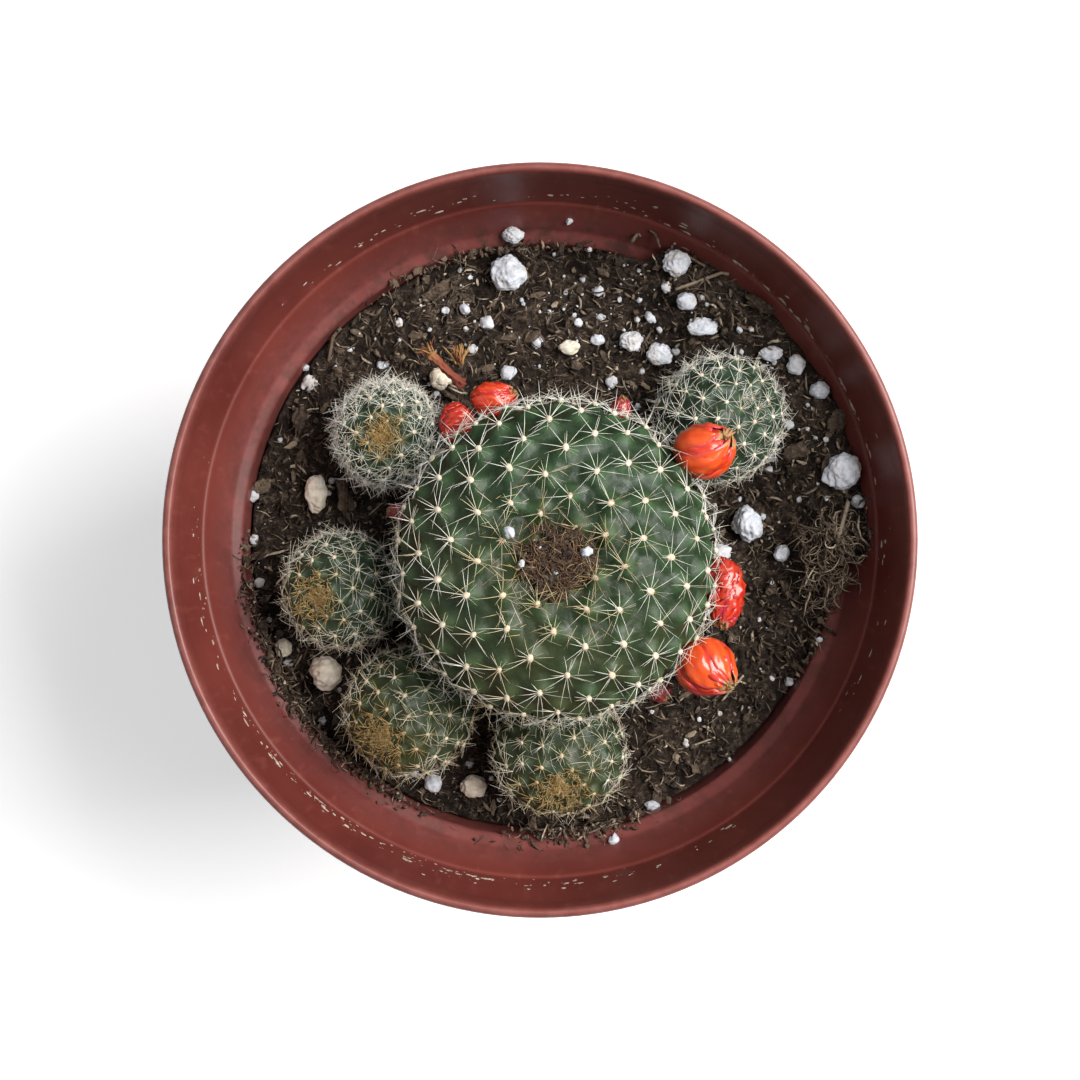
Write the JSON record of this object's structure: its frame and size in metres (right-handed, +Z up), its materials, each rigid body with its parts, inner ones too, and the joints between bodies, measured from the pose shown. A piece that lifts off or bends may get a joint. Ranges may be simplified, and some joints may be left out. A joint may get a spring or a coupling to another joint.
{
  "type": "crown cactus in a nursery pot",
  "caption": "Clumping crown cactus with offsets, spines and wilted red flowers, in soil with perlite, in a round plastic nursery pot.",
  "frame": {"origin": "on the floor under the centre of the pot, in the plane of its foot ring", "axes": "+Z up along the pot's axis, +X and +Y to the right and to the top of a view from above"},
  "size_m": [0.105, 0.105, 0.0976],
  "materials": {
    "terracotta_plastic": "satin",
    "peat": "matte",
    "main_skin": "satin",
    "offset_skin": "satin",
    "fresh_tepals": "satin",
    "dark_tepals": "satin",
    "dry_flower": "matte",
    "perlite": "matte",
    "pebble": "matte"
  },
  "bodies": {
    "root": {"pot": "terracotta_plastic", "soil": "peat", "crown_litter": "peat", "main_head": "main_skin", "offset_upper_left": "offset_skin", "offset_upper_right": "offset_skin", "offset_left": "offset_skin", "offset_lower_left": "offset_skin", "offset_bottom": "offset_skin", "bud_top_left": "fresh_tepals", "bud_top_middle": "fresh_tepals", "bud_upper_right": "fresh_tepals", "bud_right": "fresh_tepals", "bud_lower_right": "fresh_tepals", "bud_small_lower": "dark_tepals", "bud_small_top": "dark_tepals", "bud_small_left": "dark_tepals", "withered_flower": "dry_flower", "perlite_on_shelf": "perlite", "perlite_01": "perlite", "perlite_02": "perlite", "perlite_03": "perlite", "perlite_04": "perlite", "perlite_05": "perlite", "perlite_06": "perlite", "perlite_07": "perlite", "perlite_08": "perlite", "perlite_09": "perlite", "perlite_10": "perlite", "perlite_11": "perlite", "perlite_12": "perlite", "perlite_13": "perlite", "perlite_14": "perlite", "pebble_01": "pebble", "pebble_02": "pebble", "pebble_03": "pebble", "pebble_04": "pebble", "pebble_05": "pebble", "pebble_06": "pebble"}
  },
  "joints": []
}
